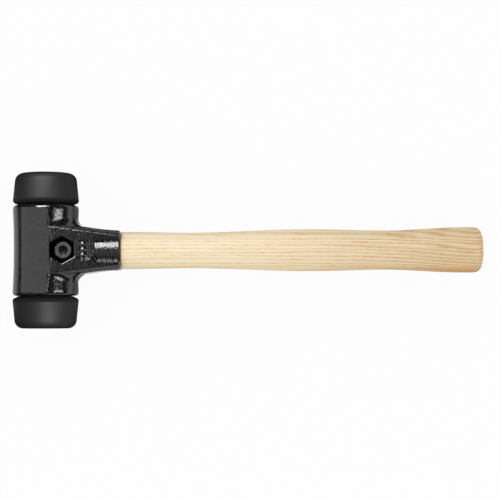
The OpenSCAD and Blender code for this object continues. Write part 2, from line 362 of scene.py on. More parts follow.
@dataclass(frozen=True)
class Enamel(Finish):
    """Glossy black enamel over the skin of a sand casting."""

    name: str = "gloss_enamel"
    slot: Slot = Slot.ENAMEL
    deep: Triple = (0.003, 0.003, 0.004)
    pale: Triple = (0.017, 0.017, 0.018)
    ior: float = 1.62
    gloss: Pair = (0.05, 0.11)
    # The skin's cells to the metre, coarse and fine, and its depth
    cells: Pair = (640.0, 1000.0)
    fine_share: float = 0.5
    relief: float = 0.32
    # Share of the skin on the barrel's ground band, behind it and past it, and the band's ends
    ground_share: float = 0.1
    side_share: float = 1.0
    barrel_share: float = 0.5
    ground_start: float = -15.4
    ground_end: float = 3.9
    ground_fade: float = 1.0
    # The screw's pocket: painted shade, black and metallic over its floor and walls so that it
    # reflects almost nothing
    pocket_shade: Triple = (0.0025, 0.0025, 0.003)
    pocket_shade_roughness: float = 0.3
    pocket_shade_share: float = 0.1
    pocket_r: float = 10.3
    pocket_fade: float = 0.6
    pocket_depth: Pair = (0.4, 1.2)
    # Step down at the band's end, beside the pad, and how it leans
    step: float = 0.15
    step_w: float = 0.7
    step_lean: float = 0.135
    pad_half: float = 17.3
    pad_fade: float = 0.5
    rim_y: float = 30.0
    # The mark recess, whose floor is smoother than the pad
    mark_half: Pair = (4.1, 7.2)
    mark_edge: Pair = (-0.4, 0.6)
    mark_share: float = 0.3

    def dress(self, surface: Surface) -> None:
        """Fills in a gloss over a rough skin, with a smoother ground band and painted shade in
        the screw's pockets.

        Args:
            surface: the material's graph.
        """
        height, mottle = surface.relief(self.cells, self.fine_share)
        x, y, z = surface.place()
        # Painted shade: the screw's pocket is black and metallic, for the shade deep inside it
        pocket_shade = self.pocket(x, y, z)
        surface.paint({
            "Base Color": pocket_shade.mix(mottle.mix(self.deep, self.pale), self.pocket_shade),
            "Metallic": pocket_shade,
            "Roughness": mottle.ramp(0, 1, *self.gloss) + pocket_shade * self.pocket_shade_roughness,
            "IOR": self.ior})
        beside = abs(y)
        past = x - self.ground_end - (self.rim_y - beside) * self.step_lean
        drop = (past.ramp(0, self.step_w, 0, -self.step)
                * beside.ramp(self.pad_half, self.pad_half + self.step_w))
        share = self.skin(x, beside, past) * pocket_shade.ramp(0, 1, 1.0, self.pocket_shade_share)
        surface.bump(height * share * self.relief + drop, 1.0)

    def skin(self, x: Output, beside: Output, past: Output) -> Output:
        """Share of the casting's skin, which is full on the pad.

        Args:
            x: place along the handle from the striking axis.
            beside: distance from the middle of the barrel.
            past: distance past the end of the ground band.

        Returns:
            The share.
        """
        pad = beside.ramp(self.pad_half - self.pad_fade, self.pad_half + self.pad_fade,
                          1.0, self.barrel_share)
        front = past.ramp(-self.step_w, self.step_w, self.ground_share, pad)
        behind = x.ramp(self.ground_start + self.ground_fade,
                        self.ground_start - self.ground_fade, self.ground_share, self.side_share)
        half_x, half_y = self.mark_half
        outside = (abs(x - MARK_X) - half_x).larger(beside - half_y)
        return front.larger(behind) * outside.ramp(*self.mark_edge, self.mark_share, 1.0)

    def pocket(self, x: Output, y: Output, z: Output) -> Output:
        """Share of the painted shade, which is all of the floor and walls of the screw's pockets.

        Args:
            x: place along the handle from the striking axis.
            y: place along the striking axis.
            z: height over the table.

        Returns:
            The share.
        """
        out = x - SCREW_X
        away = (out * out + y * y) ** 0.5
        depth = (PAD_TOP - x * PAD_FALL) - abs(z - PARTING_Z)
        return (depth.ramp(*self.pocket_depth)
                * away.ramp(self.pocket_r + self.pocket_fade, self.pocket_r))


@dataclass(frozen=True)
class Rubber(Finish):
    """Matt black moulded rubber with a fine grain."""

    name: str = "moulded_rubber"
    slot: Slot = Slot.RUBBER
    dark: Triple = (0.0045, 0.0045, 0.0055)
    pale: Triple = (0.011, 0.011, 0.013)
    specular: float = 0.34
    # The grain's cells to the metre, coarse and fine, its depth and the sheen that follows it
    cells: Pair = (1000.0, 2300.0)
    fine_share: float = 0.5
    relief: float = 0.06
    sheen_span: Pair = (0.3, 0.7)
    sheen: Pair = (0.54, 0.64)
    # Painted shade: the shoulder and the plug are painted blacker and dull, for the shade that
    # the housing casts there
    shoulder_shade: Triple = (0.0015, 0.0015, 0.0015)
    shoulder_shade_w: float = 5.6
    shoulder_shade_fade: float = 1.9

    def dress(self, surface: Surface) -> None:
        """Fills in a soft sheen, a fine moulded grain and a painted shade on the shoulder and the
        plug.

        Args:
            surface: the material's graph.
        """
        height, mottle = surface.relief(self.cells, self.fine_share)
        _, y, _ = surface.place()
        # Painted shade: darker, dull rubber near the seat, where the housing shades the face
        shoulder_shade = (abs(y) - SEAT_Y).ramp(self.shoulder_shade_w, self.shoulder_shade_w - self.shoulder_shade_fade)
        surface.paint({
            "Base Color": shoulder_shade.mix(mottle.mix(self.dark, self.pale), self.shoulder_shade),
            "Roughness": height.ramp(*self.sheen_span, *self.sheen).larger(shoulder_shade),
            "Specular IOR Level": self.specular})
        surface.bump(height, self.relief)


@dataclass(frozen=True)
class BlackenedSteel(Finish):
    """Steel with a black oxide coat."""

    name: str = "black_oxide"
    slot: Slot = Slot.STEEL
    dark: Triple = (0.030, 0.029, 0.029)
    pale: Triple = (0.058, 0.057, 0.055)
    metallic: float = 0.85
    dull: Pair = (0.36, 0.52)
    cells: Pair = (700.0, 4200.0)
    fine_share: float = 0.6
    relief: float = 0.02

    def dress(self, surface: Surface) -> None:
        """Fills in a dull, slightly mottled metal.

        Args:
            surface: the material's graph.
        """
        height, mottle = surface.relief(self.cells, self.fine_share)
        surface.paint({
            "Base Color": mottle.mix(self.dark, self.pale),
            "Roughness": mottle.ramp(0, 1, *self.dull),
            "Metallic": self.metallic})
        surface.bump(height, self.relief)


@dataclass(frozen=True)
class Hickory(Finish):
    """Pale hickory under a thin clear lacquer, with the grain along X."""

    name: str = "lacquered_hickory"
    slot: Slot = Slot.WOOD
    # Tones of the plain wood, of its palest bands and of its ring lines, at the head and the end
    cream: Triple = (0.920, 0.780, 0.535)
    tan: Triple = (0.690, 0.505, 0.290)
    pale: Triple = (0.950, 0.875, 0.675)
    straw: Triple = (0.795, 0.670, 0.455)
    line: Triple = (0.910, 0.600, 0.275)
    amber: Triple = (0.585, 0.315, 0.105)
    pore: Triple = (0.560, 0.270, 0.080)
    stain: Triple = (0.910, 0.590, 0.290)
    # Growth rings: pitch, lean through the thickness, drift along the handle, and how they waver
    ring_pitch: float = 2.7
    ring_lean: float = 0.3
    drift: float = 9.6
    drift_span: Pair = (204.05, 424.05)
    wander: Cells = Cells(75, 9)
    wander_by: float = 2.5
    years: Cells = Cells(260, 6.5, (9, 1, 4))
    years_by: float = 2.1
    ragged: Cells = Cells(12, 1.2, (2, 5, 9))
    ragged_by: float = 0.4
    # Parts of a ring's width at which its early and its palest wood rise and fall
    early_rise: Pair = (0.0, 0.06)
    early_fall: Pair = (0.42, 0.10)
    light_rise: Pair = (0.36, 0.56)
    light_fall: Pair = (1.0, 0.70)
    # Patches of stronger and weaker lines, fibres, pores, and the share of each in the colour
    patch: Cells = Cells(110, 4, (3, 7, 1))
    patch_span: Pair = (0.34, 0.62)
    weakest: float = 0.05
    fibre: Cells = Cells(38, 0.7)
    fibre_span: Pair = (0.35, 0.68)
    pores: Cells = Cells(4.2, 0.9, (5, 2, 8))
    pore_span: Pair = (0.51, 0.62)
    light_share: float = 0.8
    fibre_share: float = 0.25
    line_share: float = 0.75
    pore_share: Pair = (0.08, 0.75)
    pore_full: float = 0.8
    young_pores: float = 0.5
    # Where the wood goes from the head's tones to the end's
    age_span: Pair = (94.05, 364.05)
    age_by: float = 60.0
    age_power: float = 1.5
    # The lower side, with a painted shade that darkens it towards the end, and the end grain
    # darkened by lacquer at the shoulder
    lower_shade_span: Pair = (-11.0, -17.0)
    side_share: float = 0.85
    stain_span: Pair = (2.4, 0.6)
    stain_share: float = 0.9
    # The lacquer, which is duller over the pores
    dull: Pair = (0.5, 0.66)
    dull_full: float = 0.5
    specular: float = 0.14
    coat: float = 0.03
    coat_roughness: float = 0.3
    relief: float = 0.03

    def dress(self, surface: Surface) -> None:
        """Fills in growth rings, pores and fibres, cut from one solid block, and a painted shade
        along the lower side.

        Args:
            surface: the material's graph.
        """
        x, y, z = surface.place()
        wander = surface.noise(surface.stretched(self.wander), detail=1.0)
        phase = self.phase(surface, x, y + z * self.ring_lean, wander)
        early = phase.ramp(*self.early_fall) * phase.ramp(*self.early_rise)
        light = phase.ramp(*self.light_rise) * phase.ramp(*self.light_fall)
        patch = surface.noise(surface.stretched(self.patch))
        patch = patch.ramp(*self.patch_span, self.weakest, 1.0)
        fibre = surface.streaks(self.fibre, self.fibre_span)
        ageing = (x + wander * self.age_by).ramp(*self.age_span) ** self.age_power
        pored = (surface.streaks(self.pores, self.pore_span)
                 * early.ramp(0.0, self.pore_full, *self.pore_share)
                 * ageing.ramp(0.0, 1.0, self.young_pores, 1.0))
        # Painted shade: the lower side of the handle takes the darker line tone, more towards the
        # end
        side = y.ramp(*self.lower_shade_span, 0.0, self.side_share)
        stained = (x - SHOULDER_X).ramp(*self.stain_span, 0.0, self.stain_share)
        line = ageing.mix(self.line, self.amber)
        colour = ageing.mix(self.cream, self.tan)
        for share, tone in (
                (light * self.light_share, ageing.mix(self.pale, self.straw)),
                (fibre * self.fibre_share, line),
                (early * patch * self.line_share, line),
                (pored, self.pore),
                (side * ageing, line),
                (stained, self.stain)):
            colour = share.mix(colour, tone)
        surface.paint({
            "Base Color": colour,
            "Roughness": pored.ramp(0, self.dull_full, *self.dull),
            "Specular IOR Level": self.specular,
            "Coat Weight": self.coat,
            "Coat Roughness": self.coat_roughness})
        surface.bump(1.0 - pored, self.relief)

    def phase(self, surface: Surface, x: Output, across: Output, wander: Output) -> Output:
        """Place within a growth ring.

        Args:
            surface: the material's graph.
            x: place along the handle from the striking axis.
            across: place across the rings, before they waver.
            wander: noise that sways the rings.

        Returns:
            A value that runs from 0 to 1 through each ring.
        """
        sway = x.ramp(*self.drift_span, 0.0, self.drift) + wander * self.wander_by
        # Good and poor years space the rings unevenly, and their lines are ragged
        years = surface.noise(surface.stretched(self.years), detail=1.0)
        ragged = surface.noise(surface.stretched(self.ragged))
        rings = (across + sway) / self.ring_pitch + years * self.years_by
        return surface.math("FRACT", rings + ragged * self.ragged_by)


class Bench:
    """Modelling steps that several pieces share."""

    @staticmethod
    def deselect() -> None:
        """Leaves nothing selected in object mode."""
        if bpy.context.object and bpy.context.object.mode != "OBJECT":
            bpy.ops.object.mode_set(mode="OBJECT")
        bpy.ops.object.select_all(action="DESELECT")

    @staticmethod
    def activate(piece: Piece) -> None:
        """Selects and activates one piece alone.

        Args:
            piece: the piece.
        """
        Bench.deselect()
        piece.select_set(True)
        bpy.context.view_layer.objects.active = piece

    @staticmethod
    def start(name: str, primitive: Callable[..., set], **settings) -> Piece:
        """Starts a piece from a primitive.

        Args:
            name: the piece's name.
            primitive: the operator that adds the primitive.
            settings: the operator's settings.

        Returns:
            The new piece, which alone is selected.
        """
        Bench.deselect()
        primitive(**settings)
        piece = bpy.context.object
        piece.name = piece.data.name = name
        return piece

    @staticmethod
    @contextmanager
    def editing(piece: Piece) -> Iterator[None]:
        """Opens a piece in edit mode with all of it selected, and closes it again.

        Args:
            piece: the piece to open.

        Yields:
            Nothing, while the piece is open.
        """
        Bench.activate(piece)
        bpy.ops.object.mode_set(mode="EDIT")
        bpy.ops.mesh.select_all(action="SELECT")
        yield
        bpy.ops.object.mode_set(mode="OBJECT")

    @staticmethod
    def select_points(piece: Piece, chosen: Callable[[Vector], bool]) -> None:
        """Selects the points of a piece in edit mode by their place.

        Args:
            piece: the piece, which is in edit mode.
            chosen: test of a point's place.
        """
        bpy.ops.mesh.select_mode(type="VERT")
        bpy.ops.mesh.select_all(action="DESELECT")
        mesh = bmesh.from_edit_mesh(piece.data)
        for point in mesh.verts:
            if chosen(point.co):
                point.select_set(True)
        mesh.select_flush(True)
        bmesh.update_edit_mesh(piece.data)

    @staticmethod
    def modify(piece: Piece, kind: str, **settings) -> None:
        """Adds a modifier to a piece and applies it.

        Args:
            piece: the piece to change.
            kind: the modifier's type.
            settings: the modifier's properties.
        """
        Bench.activate(piece)
        bpy.ops.object.modifier_add(type=kind)
        modifier = piece.modifiers[-1]
        for name, value in settings.items():
            setattr(modifier, name, value)
        bpy.ops.object.modifier_apply(modifier=modifier.name)

    @staticmethod
    def cut(piece: Piece, tool: Piece, operation: str = "DIFFERENCE") -> None:
        """Combines a piece with a tool body, which is then deleted."""
        Bench.modify(piece, "BOOLEAN", object=tool, operation=operation, solver="EXACT")
        bpy.data.objects.remove(tool)

    @staticmethod
    def join(piece: Piece, others: Sequence[Piece]) -> None:
        """Takes other bodies into a piece's mesh.

        Args:
            piece: the piece that stays.
            others: the bodies that go into it.
        """
        Bench.activate(piece)
        for other in others:
            other.select_set(True)
        bpy.ops.object.join()

    @staticmethod
    def loft(name: str, rings: Sequence[Triple], sides: int,
             shape: Callable[[Vector], Vector] | None = None) -> Piece:
        """Draws a closed body up from a disc, ring by ring.

        Args:
            name: the piece's name.
            rings: half width in X, half width in Y and height in Z of each ring.
            sides: number of points in a ring.
            shape: moves a point of the first ring, drawn with a radius of 1.

        Returns:
            The new body, standing along Z.
        """
        piece = Bench.start(name, bpy.ops.mesh.primitive_circle_add,
                            vertices=sides, radius=1.0, fill_type="NGON")
        if shape:
            for point in piece.data.vertices:
                point.co = shape(point.co)
        with Bench.editing(piece):
            wide, deep, high = (MM * v for v in rings[0])
            bpy.ops.transform.resize(value=(wide, deep, 1.0), center_override=(0, 0, 0))
            bpy.ops.transform.translate(value=(0, 0, high))
            for ring in rings[1:]:
                next_wide, next_deep, next_high = (MM * v for v in ring)
                bpy.ops.mesh.extrude_region_move(
                    TRANSFORM_OT_translate={"value": (0, 0, next_high - high)})
                bpy.ops.transform.resize(value=(next_wide / wide, next_deep / deep, 1.0),
                                         center_override=(0, 0, next_high))
                wide, deep, high = next_wide, next_deep, next_high
            bpy.ops.mesh.select_all(action="SELECT")
            bpy.ops.mesh.normals_make_consistent(inside=False)
        return piece

    @staticmethod
    def turn(name: str, profile: Sequence[Pair], sides: int) -> Piece:
        """Turns a round body along Z from the radius and height of each of its rings."""
        return Bench.loft(name, [(r, r, z) for r, z in profile], sides)

    @staticmethod
    def place(piece: Piece, at: Triple, turned: Triple = (0, 0, 0)) -> None:
        """Turns and moves a body into the model's frame and keeps its object at the origin.

        Args:
            piece: the body, drawn at the origin.
            at: place from the striking axis and the parting plane.
            turned: turn about X, Y and Z, in degrees.
        """
        Bench.activate(piece)
        piece.rotation_euler = [math.radians(a) for a in turned]
        piece.location = (MM * (AXIS_X + at[0]), MM * at[1], MM * (PARTING_Z + at[2]))
        bpy.ops.object.transform_apply(location=True, rotation=True, scale=True)

    @staticmethod
    def smooth(piece: Piece, angle: float) -> None:
        """Shades a piece smooth, apart from edges sharper than an angle in degrees."""
        Bench.activate(piece)
        bpy.ops.object.shade_smooth_by_angle(angle=math.radians(angle))

    @staticmethod
    def coat(piece: Piece, finish: Finish) -> None:
        """Gives a piece one finish all over."""
        piece.data.materials.clear()
        piece.data.materials.append(finish.material())

    @staticmethod
    def finish(piece: Piece, finish: Finish, body: Body, node: str) -> Piece:
        """Gives a piece its finish and sets it in the place of a node.

        Args:
            piece: the finished piece.
            finish: its finish.
            body: the body that it moves with.
            node: the node that it stands for.

        Returns:
            The same piece.
        """
        Bench.coat(piece, finish)
        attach(piece, body.value)
        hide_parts(node)
        return piece


def arc(centre: Pair, radius: float, start: float, end: float, steps: int) -> list[Pair]:
    """Points on an arc, from a start angle to an end angle in degrees."""
    angles = [math.radians(start + (end - start) * i / steps) for i in range(steps + 1)]
    return [(centre[0] + radius * math.cos(a), centre[1] + radius * math.sin(a)) for a in angles]


@dataclass
class Housing:
    """The two like castings, with the soft edges that a mould and enamel leave."""

    finish: Enamel = Enamel()
    weld: float = 0.002
    voxel: float = 0.5
    smoothing: int = 3
    smooth_share: float = 0.5
    # The plain pips in the mark recess: radius and height of each ring, and their spacing
    mark_depth: float = 1.4
    pip: tuple[Pair, ...] = ((1.4375, -0.6), (1.25, 0.42), (0.875, 0.7))
    pip_y: float = 4.1
    pip_sides: int = 24
    # The valleys between the neck's sides and the barrel
    valley_x: Pair = (5.0, 29.0)
    valley_y: Pair = (16.6, 24.1)
    valley_z: float = 1.2
    under_pad: float = 0.4
    barrel_skin: float = 23.2
    fillet_passes: int = 90

    def pad_z(self, x: float) -> float:
        """Height of the pad over the parting plane."""
        return PAD_TOP - x * PAD_FALL

    def mould_pip(self, y: float) -> Piece:
        """A raised pip on the floor of the mark recess.

        Args:
            y: its place across the recess.

        Returns:
            The pip, sunk a little into the floor.
        """
        pip = Bench.turn("mould_pip", self.pip, self.pip_sides)
        slope = math.radians(PAD_SLOPE)
        sink = Vector((math.sin(slope), 0, math.cos(slope))) * self.mark_depth
        floor = Vector((MARK_X, y, self.pad_z(MARK_X))) - sink
        Bench.place(pip, tuple(floor), (0, PAD_SLOPE, 0))
        return pip

    def in_valley(self, point: Vector) -> bool:
        """Picks the points to round between the neck and the barrel.

        Args:
            point: a point of the front casting.

        Returns:
            Whether it is outside the barrel, beside the neck and below the pad's edge.
        """
        x, y, z = point.x / MM - AXIS_X, abs(point.y / MM), point.z / MM - PARTING_Z
        (x0, x1), (y0, y1) = self.valley_x, self.valley_y
        below = self.valley_z < z < self.pad_z(x) - self.under_pad
        return x0 < x < x1 and y0 < y < y1 and below and math.hypot(x, z) > self.barrel_skin

    def cast(self) -> Piece:
        """Casts the front shell from its node, with every edge softened.

        Returns:
            The front casting.
        """
        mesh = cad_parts["front_shell"].data.copy()
        shell = bpy.data.objects.new("front_casting", mesh)
        bpy.context.scene.collection.objects.link(shell)
        Bench.join(shell, [self.mould_pip(y) for y in (-self.pip_y, 0.0, self.pip_y)])
        with Bench.editing(shell):
            bpy.ops.mesh.remove_doubles(threshold=self.weld * MM)
        Bench.modify(shell, "REMESH", mode="VOXEL", voxel_size=self.voxel * MM,
                     use_smooth_shade=True)
        Bench.modify(shell, "SMOOTH", factor=self.smooth_share, iterations=self.smoothing)
        with Bench.editing(shell):
            Bench.select_points(shell, self.in_valley)
            bpy.ops.mesh.vertices_smooth(factor=self.smooth_share, repeat=self.fillet_passes)
        return shell

    def build(self) -> list[Piece]:
        """Makes both castings and sets them in place.

        Returns:
            The castings.
        """
        front = self.cast()
        back = front.copy()
        back.data = front.data.copy()
        back.name = back.data.name = "back_casting"
        bpy.context.scene.collection.objects.link(back)
        Bench.activate(back)
        back.rotation_euler = (math.pi, 0, 0)
        back.location = (0, 0, 2 * PARTING_Z * MM)
        bpy.ops.object.transform_apply(location=True, rotation=True, scale=True)
        return [Bench.finish(front, self.finish, Body.FRONT, "front_shell"),
                Bench.finish(back, self.finish, Body.BACK, "back_shell")]


@dataclass
class StrikingFace:
    """A rubber face with its plug, turned to its real profile."""

    side: Side
    finish: Rubber = Rubber()
    face_r: float = 25.0
    height: float = 24.4
    taper: float = 5.7
    edge_round: float = 6.5
    edge_steps: int = 14
    base_round: float = 2.6
    base_steps: int = 8
    seat_bevel: float = 1.0
    seat_w: float = 1.3
    plug_r: float = 19.85
    plug_len: float = 15.8
    plug_chamfer: float = 1.5
    sides: int = 128
    crease: float = 40.0

    def profile(self) -> list[Pair]:
        """Half section of the face.

        Returns:
            Radius and height of each ring, from the plug's end to the striking plane.
        """
        taper = math.radians(self.taper)
        base_top = self.seat_bevel + self.base_round
        edge_z = self.height - self.edge_round
        edge_r = (self.face_r - (edge_z - base_top) * math.tan(taper)
                  - self.edge_round / math.cos(taper))
        plug = [(self.plug_r - self.plug_chamfer, -self.plug_len),
                (self.plug_r, self.plug_chamfer - self.plug_len), (self.plug_r, 0.0),
                (self.plug_r + self.seat_w, 0.0)]
        base = arc((self.face_r - self.base_round, base_top), self.base_round, -90, 0,
                   self.base_steps)
        edge = arc((edge_r, edge_z), self.edge_round, self.taper, 90, self.edge_steps)
        return plug + base + edge + [(edge_r / 2, self.height)]

    def build(self) -> list[Piece]:
        """Turns the face and sets it on its end of the barrel.

        Returns:
            The face.
        """
        sign, name = self.side.value, self.side.name.lower()
        face = Bench.turn(f"{name}_rubber_face", self.profile(), self.sides)
        Bench.place(face, (0, sign * SEAT_Y, 0), (-90 * sign, 0, 0))
        Bench.smooth(face, self.crease)
        body = Body[f"{self.side.name}_FACE"]
        return [Bench.finish(face, self.finish, body, f"{name}_striking_face")]


@dataclass
class Handle:
    """The hickory handle, drawn out along its swells, with its tenon."""

    finish: Hickory = Hickory()
    length: float = 275.4
    chamfer: float = 0.6
    # Distance from the shoulder, half width and half thickness of each station
    stations: tuple[Triple, ...] = (
        (0.0, 14.2, 11.8), (50.0, 13.5, 11.2), (142.4, 15.95, 12.6), (200.7, 14.95, 12.0),
        (260.9, 17.25, 13.6))
    knob_power: float = 7.0
    knob_tip: float = 0.125
    oval_power: float = 2.4
    span_rings: int = 16
    knob_rings: int = 22
    sides: int = 96
    crease: float = 30.0
    # The tenon, from its inner end to inside the handle's shoulder
    tenon_end_x: float = 28.1
    tenon_mouth: float = 10.5
    tenon_end: float = 12.3
    tenon_half_t: float = 8.0
    tenon_inside: float = 4.0
    tenon_bevel: float = 0.8

    def rings(self) -> list[Triple]:
        """Ovals along the handle.

        Returns:
            Half thickness, half width and distance from the shoulder of each ring.
        """
        _, wide, thick = self.stations[0]
        rings = [(thick - self.chamfer, wide - self.chamfer, 0.0)]
        for (x0, w0, t0), (x1, w1, t1) in zip(self.stations, self.stations[1:]):
            for i in range(self.span_rings):
                t = i / self.span_rings
                ease = (1 - math.cos(math.pi * t)) / 2
                rings.append((t0 + (t1 - t0) * ease, w0 + (w1 - w0) * ease,
                              max(self.chamfer, x0 + (x1 - x0) * t)))
        x0, wide, thick = self.stations[-1]
        for i in range(self.knob_rings):
            u = 1 - (1 - i / self.knob_rings) ** 2
            k = math.sqrt(1 - u ** self.knob_power)
            rings.append((thick * k, wide * k, x0 + u * (self.length - x0)))
        rings.append((thick * self.knob_tip, wide * self.knob_tip, self.length))
        return rings

    def oval(self, point: Vector) -> Vector:
        """Squares up a point of a circle a little."""
        x, y = (math.copysign(abs(v) ** (2 / self.oval_power), v) for v in point.xy)
        return Vector((x, y, 0))

    def tenon(self) -> Piece:
        """The tenon, wider at its inner end, so that the shells hold it.

        Returns:
            The tenon's block in its place.
        """
        reach = SHOULDER_X - self.tenon_end_x
        length = reach + self.tenon_inside
        spread = (self.tenon_end - self.tenon_mouth) / reach
        block = Bench.start("tenon", bpy.ops.mesh.primitive_cube_add, size=1.0)
        block.scale = (MM * 2 * self.tenon_half_t, MM * 2 * self.tenon_end, MM * length)
        bpy.ops.object.transform_apply(scale=True)
        with Bench.editing(block):
            Bench.select_points(block, lambda p: p.z > 0)
            narrow = (self.tenon_end - spread * length) / self.tenon_end
            bpy.ops.transform.resize(value=(1, narrow, 1), center_override=(0, 0, 0))
        Bench.modify(block, "BEVEL", width=self.tenon_bevel * MM, segments=2)
        Bench.place(block, (self.tenon_end_x + length / 2, 0, 0), (0, 90, 0))
        return block

    def build(self) -> list[Piece]:
        """Draws out the handle and joins its tenon to it.

        Returns:
            The handle.
        """
        grip = Bench.loft("hickory_handle", self.rings(), self.sides, self.oval)
        Bench.place(grip, (SHOULDER_X, 0, 0), (0, 90, 0))
        Bench.cut(grip, self.tenon(), "UNION")
        Bench.smooth(grip, self.crease)
        return [Bench.finish(grip, self.finish, Body.BACK, "handle")]


@dataclass
class ClampScrew:
    """The socket cap screw, its nut and its washer."""

    finish: BlackenedSteel = BlackenedSteel()
    crease: float = 28.0
    # How far a cutter stands out of what it cuts
    proud: float = 1.0
    # The head, with its knurl and its rounded crown
    head_seat: float = 6.15
    head_r: float = 6.5
    head_h: float = 8.0
    head_edge: float = 0.3
    crown_round: float = 0.45
    crown_steps: int = 4
    top_share: float = 0.8
    knurl_start: float = 0.7
    knurl_end: float = 1.6
    knurl_slack: float = 0.1
    knurl_share: float = 0.968
    sides: int = 96
    # The shank, and the thread's ridge with its root sunk into the shank
    length: float = 20.0
    tip: float = 0.5
    neck: Pair = (1.0, 1.6)
    thread_r: float = 4.0
    root_r: float = 3.4
    root_sunk: float = 0.15
    ridge_half: float = 0.46
    pitch: float = 1.25
    thread_start: float = 1.0
    thread_left: float = 3.0
    thread_steps: int = 32
    # The key's socket: its drilled point and its countersunk mouth
    key_af: float = 6.0
    key_depth: float = 4.6
    drill_gap: float = 0.05
    drill_slope: float = 0.55
    mouth_gap: float = 0.25
    mouth_w: float = 1.2
    mouth_d: float = 0.85
    cutter_sides: int = 48
    # The nut: its chamfered corners, and its bore with the width and depth of each countersink
    nut_af: float = 17.2
    nut_h: float = 8.0
    nut_top: float = -4.5
    nut_flat: float = 0.97
    nut_chamfer: float = 0.75
    nut_gauge: float = 0.3
    nut_bevel: float = 0.15
    nut_crease: float = 40.0
    bore_gap: float = 0.05
    bore_sides: int = 64
    low_sink: Pair = (0.9, 0.6)
    top_sink: Pair = (0.5, 0.5)
    sink_gap: float = 0.3

    def blank(self) -> Piece:
        """Turns the screw's body and knurls its head.

        Returns:
            The screw's body, with its head's seat at zero.
        """
        r, h, crown = self.head_r, self.head_h, self.crown_round
        body = Bench.turn("cap_screw", [
            (self.root_r - self.tip, -self.length), (self.root_r, self.tip - self.length),
            (self.root_r, -self.neck[1]), (self.thread_r, -self.neck[0]), (self.thread_r, 0),
            (r - self.head_edge, 0), (r, self.head_edge), (r, self.knurl_start),
            (r, h - self.knurl_end),
            *arc((r - crown, h - crown), crown, 0, 90, self.crown_steps),
            (self.top_share * r, h)], self.sides)
        step = 2 * math.pi / self.sides
        low, high = self.knurl_start - self.knurl_slack, h - self.knurl_end + self.knurl_slack

        def groove(p: Vector) -> bool:
            """Every second line of points round the head's side."""
            return round(math.atan2(p.y, p.x) / step) % 2 == 0 and low < p.z / MM < high

        with Bench.editing(body):
            Bench.select_points(body, groove)
            bpy.ops.transform.resize(value=(self.knurl_share, self.knurl_share, 1),
                                     center_override=(0, 0, 0))
        return body

    def thread(self) -> Piece:
        """Winds the thread's ridge up the shank.

        Returns:
            The ridge, with both ends closed.
        """
        ridge = Bench.start("thread", bpy.ops.mesh.primitive_circle_add,
                            vertices=3, radius=1.0, rotation=(math.pi / 2, 0, 0))
        bpy.ops.object.transform_apply(rotation=True)
        inner, half = self.root_r - self.root_sunk, self.ridge_half
        corners = ((inner, -half), (self.thread_r, 0.0), (inner, half))
        for point, (r, z) in zip(ridge.data.vertices, corners):
            point.co = (MM * r, 0, MM * (z - self.length + self.thread_start))
        Bench.modify(ridge, "SCREW", axis="Z", angle=2 * math.pi, screw_offset=self.pitch * MM,
                     iterations=int((self.length - self.thread_left) / self.pitch),
                     steps=self.thread_steps, render_steps=self.thread_steps,
                     use_merge_vertices=True)
        with Bench.editing(ridge):
            bpy.ops.mesh.fill_holes(sides=3)
            bpy.ops.mesh.normals_make_consistent(inside=False)
        return ridge

    def corner(self, af: float) -> float:
        """Radius over the corners of a hexagon with a width across its flats."""
        return af / 2 / math.cos(math.pi / 6)

    def hexagon(self, name: str, af: float, low: float, high: float) -> Piece:
        """A prism with a width across its flats, from a low end to a high end."""
        return Bench.turn(name, [(self.corner(af), low), (self.corner(af), high)], 6)

    def build_screw(self) -> Piece:
        """Makes the screw with its key socket and thread.

        Returns:
            The screw.
        """
        screw = self.blank()
        top, floor = self.head_h, self.head_h - self.key_depth
        drill = self.key_af / 2 - self.drill_gap
        mouth = self.corner(self.key_af) + self.mouth_gap
        Bench.cut(screw, self.hexagon("key_cutter", self.key_af, floor, top + self.proud))
        Bench.cut(screw, Bench.turn("drill_point", [
            (self.drill_gap, floor - self.drill_slope * drill), (drill, floor),
            (drill, top - self.proud)], self.cutter_sides))
        Bench.cut(screw, Bench.turn("mouth_cutter", [
            (mouth - self.mouth_w, top - self.mouth_d), (mouth, top),
            (mouth, top + self.proud)], self.cutter_sides))
        Bench.join(screw, [self.thread()])
        Bench.place(screw, (SCREW_X, 0, self.head_seat))
        Bench.smooth(screw, self.crease)
        return Bench.finish(screw, self.finish, Body.SCREW, "clamp_screw")

    def build_nut(self) -> Piece:
        """Makes the nut with its chamfered corners and countersunk bore.

        Returns:
            The nut.
        """
        h, flat = self.nut_h, self.nut_af / 2 * self.nut_flat
        outer, bore = self.corner(self.nut_af) + self.nut_gauge, self.thread_r + self.bore_gap
        (low_w, low_d), (top_w, top_d) = self.low_sink, self.top_sink
        nut = self.hexagon("hexagon_nut", self.nut_af, -h, 0)
        Bench.cut(nut, Bench.turn("chamfer_gauge", [
            (flat, -h), (outer, self.nut_chamfer - h), (outer, self.proud)],
            self.sides), "INTERSECT")
        Bench.cut(nut, Bench.turn("bore_cutter", [
            (bore + low_w, -h - self.sink_gap), (bore, low_d - h), (bore, -top_d),
            (bore + top_w, self.sink_gap)], self.bore_sides))
        Bench.place(nut, (SCREW_X, 0, self.nut_top))
        Bench.modify(nut, "BEVEL", width=self.nut_bevel * MM, segments=2, limit_method="ANGLE",
                     angle_limit=math.radians(self.nut_crease))
        Bench.smooth(nut, self.crease)
        return Bench.finish(nut, self.finish, Body.BACK, "clamp_nut")

    def build(self) -> list[Piece]:
        """Makes the screw and the nut and dresses the washer.

        Returns:
            The screw, the nut and the washer.
        """
        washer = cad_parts["lock_washer"]
        Bench.coat(washer, self.finish)
        return [self.build_screw(), self.build_nut(), washer]


